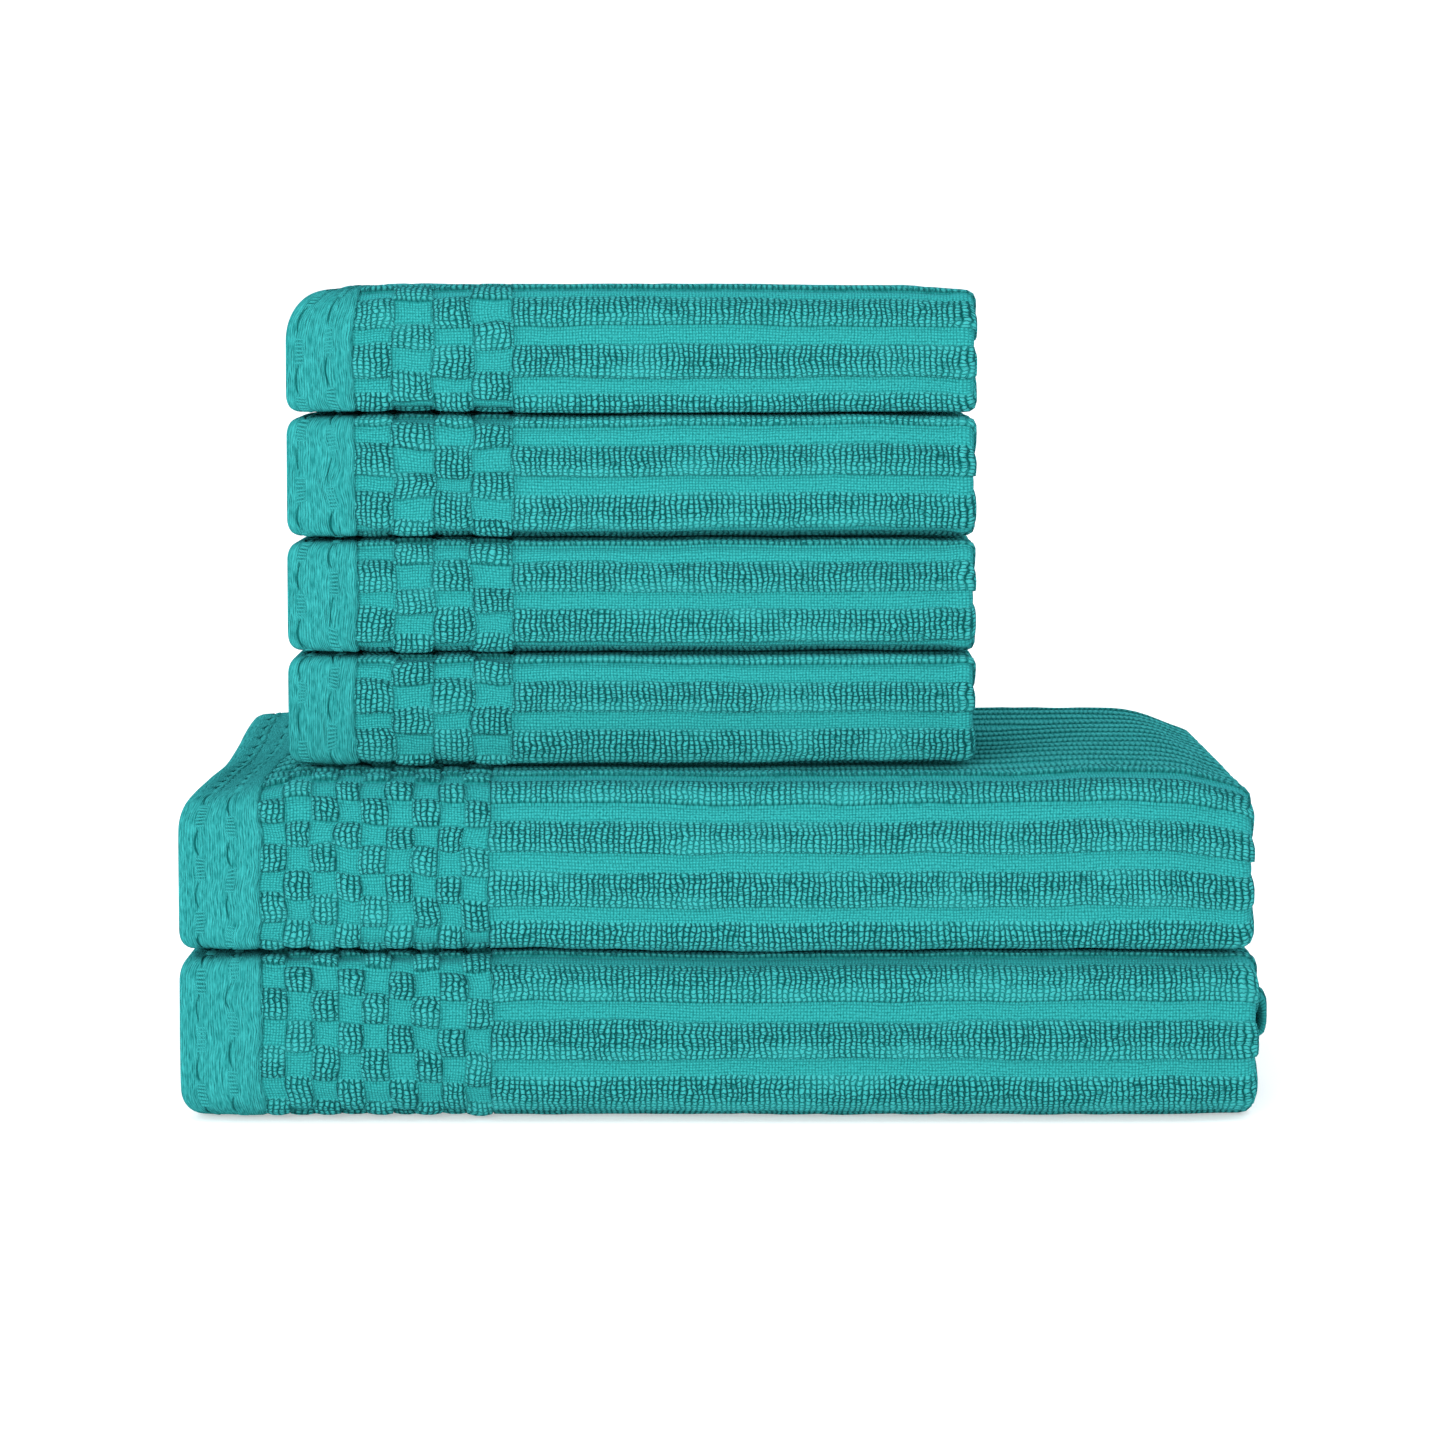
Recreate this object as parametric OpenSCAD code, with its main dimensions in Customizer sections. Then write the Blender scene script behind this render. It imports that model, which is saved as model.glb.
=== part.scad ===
// Bath towel set: a stack of two bath towels under four hand towels.
// +X runs along the ribs from the hemmed end to the folded end, +Y runs to the
// back, +Z is up, and the origin is under the middle of the bath towels.
//
// Every towel is folded twice. The first fold, across its length, makes a strip
// of several cloth layers that ends in hems on the left and in a fold on the
// right. The second fold lays that strip in three plies: over the top, round
// the front, under the bottom, round the back and in between.

/* [Bath towels] */
// Width of a folded bath towel, from its hems to its end fold
bath_width = 356; // [300:1:420]
// Depth of a folded bath towel, from front to back
bath_depth = 256; // [200:1:300]
// Thickness of the lower bath towel's strip, pressed by the whole stack
bath_lower_ply = 18.6; // [16:0.2:22]
// Thickness of the upper bath towel's strip
bath_upper_ply = 19.4; // [16:0.2:22]
// Width of a bath towel's turned hem
bath_hem = 27; // [20:0.5:35]
// Distances from the hem's edge to its two rows of stitching
bath_stitch_rows = [7.3, 17.6];

/* [Hand towels] */
// Width of a folded hand towel, from its hem to its end fold
hand_width = 231; // [200:1:260]
// Depth of a folded hand towel, from front to back
hand_depth = 135; // [110:1:160]
// Thicknesses of the hand towels' strips, from the lowest to the top one
hand_plies = [12.45, 12.45, 13.5, 14.1];
// Width of a hand towel's turned hem
hand_hem = 23.7; // [16:0.1:30]
// Distances from the hem's edge to its two rows of stitching
hand_stitch_rows = [5, 16];

/* [Stacking] */
// How far the hand towels' middle lies to the left of the bath towels' middle
stack_shift = 29; // [0:1:50]
// How far the hand towels' fronts lie behind the bath towels' fronts
stack_setback = 24; // [5:1:60]
// Room between one towel and the next
towel_gap = 0.3; // [0.2:0.05:1]

/* [Cloth] */
// How far the top ply's back edge lies in front of the back fold
top_edge_inset = 3; // [0:0.5:10]
// Room between the plies of a folded strip
ply_gap = 0.3; // [0.2:0.05:1]
// Room between two cloth layers at the hems
layer_gap = 0.2; // [0.1:0.05:0.6]
// Width of a row of stitching
thread_width = 1.6; // [0.8:0.1:2.5]
// Depth of the groove that a row of stitching pulls into the hem
thread_depth = 1.0; // [0.4:0.1:1.5]

/* [Hidden] */
$fn = 64;
// Cloth layers in a strip that is folded in quarters, and in one folded in three
QUARTERS = 4;
THIRDS = 3;

// One towel: name, width, depth, strip thickness, cloth layers, hem, stitch rows
TOWELS = concat(
    [["bath_towel_lower", bath_width, bath_depth, bath_lower_ply,
      QUARTERS, bath_hem, bath_stitch_rows],
     ["bath_towel_upper", bath_width, bath_depth, bath_upper_ply,
      QUARTERS, bath_hem, bath_stitch_rows]],
    [for (i = [0 : len(hand_plies) - 1])
        [str("hand_towel_", i + 1), hand_width, hand_depth, hand_plies[i],
         THIRDS, hand_hem, hand_stitch_rows]]
);
PIECES = ["_cloth", "_outer_hem", "_inner_hem", "_hem_stitching"];

function width(towel) = towel[1];
function depth(towel) = towel[2];
function ply(towel) = towel[3];
function layers(towel) = towel[4];
function hem(towel) = towel[5];
function stitch_rows(towel) = towel[6];
function is_hand(towel) = layers(towel) == THIRDS;

// Folded height of a towel, and thickness of one cloth layer in its strip
function height(towel) = 3 * ply(towel) + 2 * ply_gap;
function layer(towel) = ply(towel) / layers(towel);

// Height of the underside of towel number i over the surface it stands on
function base(i) = i == 0 ? 0 : base(i - 1) + height(TOWELS[i - 1]) + towel_gap;

// Puts towel number i in its place in the stack
module place(i) {
    towel = TOWELS[i];
    x = is_hand(towel) ? -stack_shift : 0;
    y = is_hand(towel) ? (hand_depth - bath_depth) / 2 + stack_setback : 0;
    translate([x - width(towel) / 2, y, base(i)])
        children();
}

// A straight ply from y = back forwards over a length; the outline's x runs
// along the towel and its y runs inwards from the ply's outer face
module ply_run(back, length, outer_z, faces_up) {
    translate([0, back, outer_z])
        mirror([0, 0, faces_up ? 1 : 0])
            rotate([90, 0, 0])
                linear_extrude(height = length)
                    children();
}

// Half a turn of the strip about an axis along X, bulging to the back
module half_turn(radius) {
    rotate([0, 90, 0])
        rotate_extrude(angle = 180)
            translate([radius, 0])
                rotate(90)
                    children();
}

// Carries an outline once along the whole second fold of a towel
module along_strip(towel) {
    h = height(towel);
    p = ply(towel);
    front = (h - depth(towel)) / 2;
    back = depth(towel) / 2 - p - ply_gap / 2;
    top_back = depth(towel) / 2 - top_edge_inset;
    ply_run(top_back, top_back - front, h, true)
        children();
    translate([0, front, h / 2])
        mirror([0, 1, 0])
            half_turn(h / 2)
                children();
    ply_run(back, back - front, 0, false)
        children();
    translate([0, back, p + ply_gap / 2])
        half_turn(p + ply_gap / 2)
            children();
    ply_run(back, back - front, 2 * p + ply_gap, true)
        children();
    intersection() {
        ply_run(front, p / 2, 2 * p + ply_gap, true)
            children();
        translate([0, front, h / 2])
            rotate([0, 90, 0])
                cylinder(r = p / 2, h = width(towel));
    }
}

// Outline of a strip folded in quarters, without its two hems: the last two
// layers turn at the left end, and all four turn at the right end
module quarters_outline(towel) {
    w = width(towel);
    p = ply(towel);
    turn = p / 4;
    translate([hem(towel), 0])
        square([w - p / 2 - hem(towel), p / 2]);
    translate([turn, p / 2])
        square([w - p / 2 - turn, p / 2]);
    translate([turn, p - turn])
        circle(r = turn);
    translate([w - p / 2, p / 2])
        circle(r = p / 2);
}

// Where the covered hem of a strip folded in three starts: its edge lies
// inside the end fold on the right
function covered_hem_start(towel) = width(towel) - ply(towel) / 2 - hem(towel);

// Outline of a strip folded in three, without its two hems: the last two
// layers turn at the left end, and the outer two turn at the right end
module thirds_outline(towel) {
    w = width(towel);
    p = ply(towel);
    t = layer(towel);
    difference() {
        union() {
            translate([hem(towel), 0])
                square([w - p / 2 - hem(towel), t]);
            translate([t, t])
                square([w - p / 2 - t, 2 * t]);
            translate([t, 2 * t])
                circle(r = t);
            translate([w - p / 2, p / 2])
                circle(r = p / 2);
        }
        translate([covered_hem_start(towel), t])
            square([hem(towel) + layer_gap, t]);
    }
}

// Outline of a hem strip with a rounded edge at x = 0
module hem_outline(length, thickness) {
    r = thickness / 2;
    translate([r, 0])
        square([length - r, thickness]);
    translate([r, r])
        circle(r = r);
}

// Outline of the stitch rows of a hem
module stitch_outline(towel) {
    for (x = stitch_rows(towel))
        translate([x - thread_width / 2, 0])
            square([thread_width, thread_depth]);
}

// The cloth of a towel between its hems
module towel_cloth(i) {
    towel = TOWELS[i];
    color("lightseagreen")
        place(i)
            along_strip(towel) {
                if (is_hand(towel)) thirds_outline(towel);
                else quarters_outline(towel);
            }
}

// The hem that shows on the outside, at the left end of the strip
module towel_outer_hem(i) {
    towel = TOWELS[i];
    color("mediumturquoise")
        place(i)
            along_strip(towel)
                difference() {
                    hem_outline(hem(towel), layer(towel) - layer_gap);
                    stitch_outline(towel);
                }
}

// The other hem: under the outer one on a bath towel, and inside the end fold
// on a hand towel
module towel_inner_hem(i) {
    towel = TOWELS[i];
    t = layer(towel);
    color("mediumturquoise")
        place(i)
            along_strip(towel) {
                if (is_hand(towel))
                    translate([covered_hem_start(towel), t + layer_gap / 2])
                        square([hem(towel), t - layer_gap]);
                else
                    translate([0, t])
                        hem_outline(hem(towel), t - layer_gap);
            }
}

// The two rows of thread sunk in the outer hem
module towel_hem_stitching(i) {
    towel = TOWELS[i];
    color("darkcyan")
        place(i)
            along_strip(towel)
                stitch_outline(towel);
}

for (i = [0 : len(TOWELS) - 1]) {
    name = TOWELS[i][0];
    towel_cloth(i);
    towel_outer_hem(i);
    towel_inner_hem(i);
    towel_hem_stitching(i);
}
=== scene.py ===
"""Looks of the bath towel set: two bath towels under four hand towels, folded and stacked.

Every towel is one long sheet of terry cloth with a satin hem sewn at each end. A towel's
sheet is laid out flat in millimetres (s along its length, v across its width), and then
folded twice: first across its length into a strip of layers, then around its width into
three plies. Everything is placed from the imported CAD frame, in metres.
"""
import math
from types import SimpleNamespace

import bpy
import numpy as np
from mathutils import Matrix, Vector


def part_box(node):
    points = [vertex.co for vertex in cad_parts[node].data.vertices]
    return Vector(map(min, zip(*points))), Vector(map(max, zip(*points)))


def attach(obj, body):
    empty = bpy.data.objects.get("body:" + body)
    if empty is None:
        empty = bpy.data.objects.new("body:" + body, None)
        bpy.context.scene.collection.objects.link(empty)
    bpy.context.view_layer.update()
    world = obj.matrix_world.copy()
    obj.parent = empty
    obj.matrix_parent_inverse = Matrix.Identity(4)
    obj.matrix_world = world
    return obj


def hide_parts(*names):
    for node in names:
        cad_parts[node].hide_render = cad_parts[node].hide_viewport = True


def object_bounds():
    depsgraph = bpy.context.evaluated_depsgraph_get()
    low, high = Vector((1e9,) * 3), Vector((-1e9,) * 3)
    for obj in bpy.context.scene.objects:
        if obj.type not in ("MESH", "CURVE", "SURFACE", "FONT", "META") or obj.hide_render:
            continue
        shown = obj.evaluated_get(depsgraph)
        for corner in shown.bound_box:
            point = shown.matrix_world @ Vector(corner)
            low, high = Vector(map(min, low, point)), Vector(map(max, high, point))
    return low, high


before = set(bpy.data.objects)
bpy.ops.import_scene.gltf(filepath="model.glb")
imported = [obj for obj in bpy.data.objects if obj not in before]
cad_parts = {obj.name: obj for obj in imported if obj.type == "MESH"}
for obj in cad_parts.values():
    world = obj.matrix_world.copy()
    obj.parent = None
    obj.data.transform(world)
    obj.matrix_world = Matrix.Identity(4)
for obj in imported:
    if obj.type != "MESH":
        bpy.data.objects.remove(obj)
cad_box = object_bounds()

MM = 0.001
PLY_GAP = 0.3            # room between the plies, as in the CAD model
LAYER_AIR = 0.12         # room between two cloth layers
EDGE = 0.3               # half the width of the step between pile and flat weave

# What a kind of towel is woven and folded like, in millimetres:
#   relief       how high the loops stand, and share is their part of a rib
#   odd, even    where the loops of a check start and end in a rib, in shares of it, for the
#                two sorts of check column; first_check is 1 where an even one is next to the hem
#   lines        where the hem's two sewn lines are, from the towel's end
#   top_inset    how far the top ply's free edge lies in from the back
#   front_depth  how deep the turn round the front is
#   skew, tuck   how much higher the hem's end lies, and how far the whole left end lies back
#   loop_rise    from one loop to the next down a rib
BATH = SimpleNamespace(
    kind="bath", layers=4, flat_w=762.0, flat_l=1413.0, relief=2.0, share=0.66,
    hem=27.0, check_w=8.4, checks=9, first_check=1, odd=(0.16, 0.66), even=(0.6, 1.14),
    lines=(7.3, 17.6), top_inset=3.0, front_depth=27.0, skew=5.0, loop_rise=1.4, tuck=0.0,
)
HAND = SimpleNamespace(
    kind="hand", layers=3, flat_w=406.0, flat_l=686.0, relief=1.8, share=0.65,
    hem=23.7, check_w=13.1, checks=4, first_check=0, odd=(-0.02, 0.65), even=(0.55, 1.07),
    lines=(5.0, 16.0), top_inset=3.0, front_depth=20.0, skew=0.0, loop_rise=1.3, tuck=1.1,
)
BULGE = 0.32             # how far a looped check bulges into its neighbours

# A rib's relief, in shares of its height and its width
UPPER_EDGE = 0.16        # height of the loops at the rib's upper edge,
RIB_SLOPE = 0.45         # from where they rise over this much of a rib,
CHECK_SLOPE = 0.3        # or this much of a check,
LOWER_FALL = 0.12        # and fall by this before the lower edge
WEAVE_DEPTH = 1.12       # depth of the flat weave under the highest loops
CHECK_OPEN = (0.44, 0.46)  # how open the loops of a check stand at least, and how much more
PRESSED = 0.55           # share of the relief that is pressed flat between other layers,
TURNED = 0.4             # and on the top and round the right end
WOVEN_EDGE = (0.42, 0.58)  # thickness at the woven long edges, and what it gains inwards

# How a folded towel eases out of square, in millimetres
DRAW_REACH = 32          # the left end draws in over this much of its length
DROP_REACH = (45, 36)    # the top sinks over this much at the left and the right end
REAR_STAYS = 0.8         # share of the left end's sinking that the rear is spared
FRONT_BACK = (3.0, 4.0)  # how far the front lies back at its left and right corner,
FRONT_REACH = (22, 30)   # over how much of the length
REAR_FORWARD = 7.0       # how far the rear's left corner lies forward,
REAR_SHARE = 0.04        # and its right corner, as a share of the width,
REAR_REACH = 45          # over how much of the length
SWELL = 1.8              # how far the top rises where no towel lies on it,
SWELL_REACH = 45         # over how much room

# The hem's stitching, in millimetres
STITCH_PERIOD = 20.0     # one ladder of stitches and one pod along a sewn line
LADDER = 0.44            # the ladder's share of it
BARS = 7                 # bars in a ladder
BAR_HALF = 1.75          # half a bar's length
BAR_RINGS = ((-1.0, 0.12), (-0.85, 0.42), (0.85, 0.42), (1.0, 0.12))  # place and girth
BAR_SIDES = 6
LADDER_DIP = (0.3, 1.9)  # depth and half width of the dent that a ladder pulls
POD_RISE = (0.2, 1.3)    # height and half width of a pod
POD_BELLY = 1.5          # from the line to the pod's slits, where it is widest
SLITS = ((1, 0.75), (-1, 0.3))  # a pod's slits: 1 is towards the towel's end, and their depth
SLIT_HALF = 0.42         # half a slit's width
HEM_THICK = 0.94         # the hem's share of the room in its layer

# Greatest steps of the meshes, in millimetres
RIB_STEP, HIDDEN_RIB_STEP = 2.6, 6.0       # down the ribs
CHECK_STEP, OUTER_STEP = 2.8, 4.2          # along the outer layer
HIDDEN_STEP = 30.0                         # along the other layers
HEM_STEP, HIDDEN_HEM_STEP = 1.0, 6.0       # along a hem
SATIN_STEP = 1.6                           # across a hem, apart from its lines
LINE_PLACES = (-2.2, -1.8, -1.4, -1.0, -0.5, 0, 0.5, 1.0, 1.4, 1.8, 2.4)  # across a line


def towel_habits(kind, **habits):
    """How one towel differs from the others: how far below the middle of its front a rib
    starts and the ribs' pitch, how far its inner ply sticks out at the right end, how much
    longer it is than its CAD node, how far its left end draws in at the top and the bottom
    (by how much, over what height), how far its top sinks towards the left and the
    right end, and how square the upper and the lower edge of its front are."""
    return SimpleNamespace(kind=kind, **habits)


TOWELS = {
    "bath_towel_lower": towel_habits(
        BATH, seed=11, first_rib=13.6, pitch=20.2, inner_shift=9.0, longer=1.8,
        top=(4.0, 8.0), bottom=(8.0, 11.0), drop=(1.5, 1.0), square=(12.0, 4.4)),
    "bath_towel_upper": towel_habits(
        BATH, seed=23, first_rib=3.1, pitch=17.6, inner_shift=-1.0, longer=0.0,
        top=(7.0, 14.0), bottom=(4.5, 8.0), drop=(8.0, 7.0), square=(4.4, 12.0)),
    "hand_towel_1": towel_habits(
        HAND, seed=37, first_rib=6.9, pitch=17.9, inner_shift=0.6, longer=0.0,
        top=(4.5, 6.5), bottom=(4.0, 6.5), drop=(0.5, 0.5), square=(12.0, 12.0)),
    "hand_towel_2": towel_habits(
        HAND, seed=41, first_rib=4.6, pitch=17.4, inner_shift=-0.8, longer=0.0,
        top=(4.5, 6.5), bottom=(4.0, 6.5), drop=(0.5, 0.5), square=(12.0, 12.0)),
    "hand_towel_3": towel_habits(
        HAND, seed=59, first_rib=6.3, pitch=17.9, inner_shift=0.5, longer=0.0,
        top=(4.5, 6.5), bottom=(4.0, 6.5), drop=(0.5, 0.5), square=(12.0, 12.0)),
    "hand_towel_4": towel_habits(
        HAND, seed=67, first_rib=16.3, pitch=17.9, inner_shift=-0.5, longer=0.0,
        top=(14.0, 18.0), bottom=(4.0, 6.5), drop=(1.5, 1.5), square=(4.6, 12.0)),
}


# ---------------------------------------------------------------- numbers and noise

def smooth(x):
    """0 below 0, 1 above 1, and a smooth step between."""
    x = np.clip(x, 0.0, 1.0)
    return x * x * (3 - 2 * x)


def near(distance, reach):
    """1 at an end or an edge, and smoothly down to 0 at a reach from it."""
    return 1 - smooth(distance / reach)


def lattice(ix, iy, seed):
    """A repeatable random number from -1 to 1 at each whole-numbered point."""
    n = ix.astype(np.int64) * 374761393 + iy.astype(np.int64) * 668265263 + seed * 69069
    with np.errstate(over="ignore"):
        n = (n ^ (n >> 13)) * 1274126177
    n = n ^ (n >> 16)
    return (n & 0xFFFFFF) / float(0x7FFFFF) - 1.0


def noise(x, y, seed):
    """Smooth value noise from -1 to 1, one unit from bump to bump. Below, a * noise(x / b, ...)
    is an unevenness of up to a millimetres, with about b millimetres from bump to bump."""
    x, y = np.broadcast_arrays(np.asarray(x, float), np.asarray(y, float))
    ix, iy = np.floor(x), np.floor(y)
    fx, fy = smooth(x - ix), smooth(y - iy)
    a, b = lattice(ix, iy, seed), lattice(ix + 1, iy, seed)
    c, d = lattice(ix, iy + 1, seed), lattice(ix + 1, iy + 1, seed)
    return (a * (1 - fx) + b * fx) * (1 - fy) + (c * (1 - fx) + d * fx) * fy


# ---------------------------------------------------------------- the two folds

def rounded(a, power):
    """Sine and cosine of a turn whose outline is a superellipse."""
    sine, cosine = np.sin(a), np.cos(a)
    shape = (np.abs(sine) ** power + np.abs(cosine) ** power) ** (-1 / power)
    return sine * shape, cosine * shape


class Strip:
    """The first fold. The sheet's length s runs through the strip's section as straight
    layers and half turns; x is along the towel and t is the depth under the outer face."""

    TURN_POWER = 4.0     # 2 would be a round turn, and more is squarer

    def __init__(self, kind, width, ply):
        t1 = ply / kind.layers
        self.t1 = t1
        if kind.layers == 4:
            reach = width - 2 * t1
            self.runs = [(reach, 0), (1.5 * t1, 1), (reach - t1, 0), (0.5 * t1, 1),
                         (reach - t1, 0), (0.5 * t1, -1), (None, 0)]
        else:
            reach = width - 1.5 * t1
            self.runs = [(reach, 0), (t1, 1), (reach - t1, 0), (0.5 * t1, 1), (None, 0)]
        self.reach = reach
        self.length = kind.flat_l
        self.end_turn = math.pi * self.runs[1][0]
        used = sum(r if turn == 0 else math.pi * r for r, turn in self.runs[:-1])
        self.runs[-1] = (self.length - used, 0)

    def at(self, s, out):
        """(x, t) of points at length s, out millimetres off the cloth's middle."""
        x, t, heading = 0.0, self.t1 / 2, 0.0
        px, pt = np.zeros_like(s), np.zeros_like(s)
        start = 0.0
        last = len(self.runs) - 1
        for i, (size, turn) in enumerate(self.runs):
            length = size if turn == 0 else math.pi * size
            here = (s >= start) if i == last else (s >= start) & (s < start + length)
            along, off = s[here] - start, out[here]
            if turn == 0:
                px[here] = x + along * math.cos(heading) + off * math.sin(heading)
                pt[here] = t + along * math.sin(heading) - off * math.cos(heading)
                x, t = x + length * math.cos(heading), t + length * math.sin(heading)
            else:
                mt = t + turn * size * math.cos(heading)
                sine, cosine = rounded(heading + turn * along / size, self.TURN_POWER)
                px[here] = x + (turn * size + off) * sine
                pt[here] = mt - (turn * size + off) * cosine
                heading += turn * math.pi
                t = mt - turn * size * math.cos(heading)
            start += length
        return px, pt


class Wrap:
    """The second fold. The sheet's width v runs over the top from the back, round the
    front, under the bottom, round the back and in between; y and z are from the towel's
    back bottom edge, and t is the depth under the outer face."""

    BACK_POWER = 2.4
    BACK_MEASURE = 0.3   # depth in the ply at which the cloth keeps its length round the back
    FRONT_CORE = 0.45    # depth of the front turn at the ply's inner face, in plies

    def __init__(self, kind, depth, height, square):
        self.h = height
        self.square = square
        self.p = (height - 2 * PLY_GAP) / 3
        self.front_depth = kind.front_depth
        self.front = -depth + kind.front_depth
        self.back = -(self.p + PLY_GAP / 2)
        self.top_back = -kind.top_inset
        turn = np.linspace(0, math.pi, 181)
        self.turn = turn
        self.front_len = self.measure(*self.front_turn(turn, 0.0))
        self.back_len = self.measure(*self.back_turn(turn, self.BACK_MEASURE * self.p))
        self.marks = np.cumsum([0.0, self.top_back - self.front, self.front_len[-1],
                                self.back - self.front, self.back_len[-1]])
        self.middle = self.marks[1] + self.front_len[len(turn) // 2]

    @staticmethod
    def measure(y, z):
        return np.concatenate([[0.0], np.cumsum(np.hypot(np.diff(y), np.diff(z)))])

    def front_turn(self, a, t):
        share = 1 - t / self.p
        upper, lower = self.square
        power = np.where(a < math.pi / 2, upper, lower)
        sine, cosine = rounded(a, 2 + (power - 2) * share)
        half = self.h / 2
        inner = self.p * self.FRONT_CORE
        reach = inner + (self.front_depth - inner) * share
        return self.front - reach * sine, half + (half - t) * cosine

    def back_turn(self, a, t):
        share = 1 - t / self.p
        sine, cosine = rounded(a, 2 + (self.BACK_POWER - 2) * share)
        middle = self.p + PLY_GAP / 2
        return self.back + (middle - t) * sine, middle - (middle - t) * cosine

    def at(self, v, t):
        """(y, z) of points at width v, at depth t under the outer face."""
        v, t = np.broadcast_arrays(np.asarray(v, float), np.asarray(t, float))
        y, z = np.zeros(v.shape), np.zeros(v.shape)
        m = self.marks
        top = v < m[1]
        y[top], z[top] = self.top_back - v[top], self.h - t[top]
        fold = (v >= m[1]) & (v < m[2])
        a = np.interp(v[fold] - m[1], self.front_len, self.turn)
        y[fold], z[fold] = self.front_turn(a, t[fold])
        low = (v >= m[2]) & (v < m[3])
        y[low], z[low] = self.front + (v[low] - m[2]), t[low]
        rear = (v >= m[3]) & (v < m[4])
        a = np.interp(v[rear] - m[3], self.back_len, self.turn)
        y[rear], z[rear] = self.back_turn(a, t[rear])
        inner = v >= m[4]
        y[inner] = self.back - (v[inner] - m[4])
        z[inner] = 2 * self.p + PLY_GAP - t[inner]
        return y, z


class Towel:
    """One folded towel: its place from the CAD frame, its folds and its unevenness."""

    def __init__(self, name, level):
        self.name, self.level = name, level
        self.habits = TOWELS[name]
        self.kind, self.seed = self.habits.kind, self.habits.seed
        low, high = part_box(name + "_cloth")
        hem_low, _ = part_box(name + "_outer_hem")
        self.x0 = min(low.x, hem_low.x) / MM
        self.x1, self.y1 = high.x / MM, high.y / MM
        self.y0, self.z0 = low.y / MM, low.z / MM
        self.height = (high.z - low.z) / MM
        self.wrap = Wrap(self.kind, self.y1 - self.y0, self.height, self.habits.square)
        self.strip = Strip(self.kind, self.x1 - self.x0, self.wrap.p)
        self.half = self.strip.t1 / 2 - LAYER_AIR
        self.rib_start = (self.wrap.middle + self.habits.first_rib) % self.habits.pitch

    def place(self, s, v, out):
        """Points of the folded towel, in metres, for flat places (s, v) on the sheet."""
        s, v, out = (np.asarray(a, float) for a in np.broadcast_arrays(s, v, out))
        along, across = self.wander(s, v)
        x, t = self.strip.at(s + along * self.inside(s, self.kind.flat_l), out)
        across = v + across * self.inside(v, self.kind.flat_w)
        y, z = self.wrap.at(across, np.clip(t, 0.0, self.wrap.p))
        return self.shaped(x + self.shift(v), y, z)

    def wander(self, s, v):
        """How far a place on the sheet is off its straight weave, along and across. In the
        checked border the looped checks also bulge into the flat ones beside them."""
        kind, seed = self.kind, self.seed
        d = s - kind.hem
        border = 1 - smooth((d - 0.9 * kind.checks * kind.check_w) / 12)
        across = 0.6 * noise(s / 48, v / 16, seed) + 0.45 * noise(s / 13, v / 8, seed + 1)
        across = across + border * (0.8 * noise(s / 6.5, v / 7, seed + 3) - self.skewed(s))
        along = (0.5 + 0.6 * border) * noise(v / 9, s / 16, seed + 2)
        turn = 2 * math.pi * ((v - self.rib_start) / self.habits.pitch - kind.odd[1] + 0.02)
        bulge = BULGE * (1 - 2 * kind.first_check) * border
        across = across + bulge * smooth(d / 2) * np.sin(math.pi * d / kind.check_w) * np.cos(turn)
        along = along + bulge * smooth(d / 6) * np.cos(math.pi * d / kind.check_w) * np.sin(turn)
        return along, across

    def skewed(self, s):
        """How much higher the hem's end of the cloth lies than the rest."""
        border = self.kind.hem + self.kind.checks * self.kind.check_w
        return self.kind.skew * (1 - np.clip(s / border, 0, 1))

    @staticmethod
    def inside(place, size):
        """Fades the wander out at the edges of the sheet."""
        return smooth(place / 20) * smooth((size - place) / 20)

    def shift(self, v):
        """How far each ply lies off to the right, changing smoothly from ply to ply."""
        m = self.wrap.marks
        marks = [0, m[1], m[2], m[3], m[4], m[4] + 60]
        side = 0.8 * noise(np.float64(self.seed), 0.5, self.seed + 5)
        inner = self.habits.inner_shift
        return np.interp(v, marks, [side, 0, 0, -side, inner, inner])

    def shaped(self, x, y, z):
        """Rounds the ends, lets the faces wave, and puts the towel in its place."""
        h = self.height
        width, depth = self.x1 - self.x0, self.y1 - self.y0
        left, right = np.maximum(x, 0), np.maximum(width - x, 0)
        share = np.clip(z / h, 0, 1)
        x = x * (1 + self.habits.longer / width)
        x = x + self.draw_in(z) * near(x, DRAW_REACH)
        front = smooth((-y - depth / 2) / (depth / 2))
        rear = 1 - smooth(-y / (depth / 2))
        z = z - self.habits.drop[0] * (1 - REAR_STAYS * rear) * near(left, DROP_REACH[0]) * share
        z = z - self.habits.drop[1] * near(right, DROP_REACH[1]) ** 2 * share
        leftmost, rightmost = near(left, FRONT_REACH[0]), near(right, FRONT_REACH[1])
        y = y + front * (FRONT_BACK[0] * leftmost + FRONT_BACK[1] * rightmost)
        y = y - rear * (REAR_FORWARD * leftmost + REAR_SHARE * width * near(right, REAR_REACH))
        y = y + 0.8 * front * noise(x / 70, z / 30, self.seed + 7)
        wx, wy = self.x0 + x, self.y1 + y
        z = z + self.seam_wave(wx, wy, self.level) * (1 - share)
        z = z + (self.seam_wave(wx, wy, self.level + 1) + self.unloaded(wx, wy)) * share
        return np.stack([wx * MM, wy * MM, (self.z0 + z) * MM], axis=-1)

    def draw_in(self, z):
        """How far the left end lies back at a height, rounded at the top and bottom."""
        total = self.kind.tuck
        for (amount, reach), depth in ((self.habits.top, self.height - z), (self.habits.bottom, z)):
            u = np.clip(1 - depth / reach, 0, 1)
            total = total + amount * (1 - np.sqrt(1 - u * u))
        return total

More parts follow.
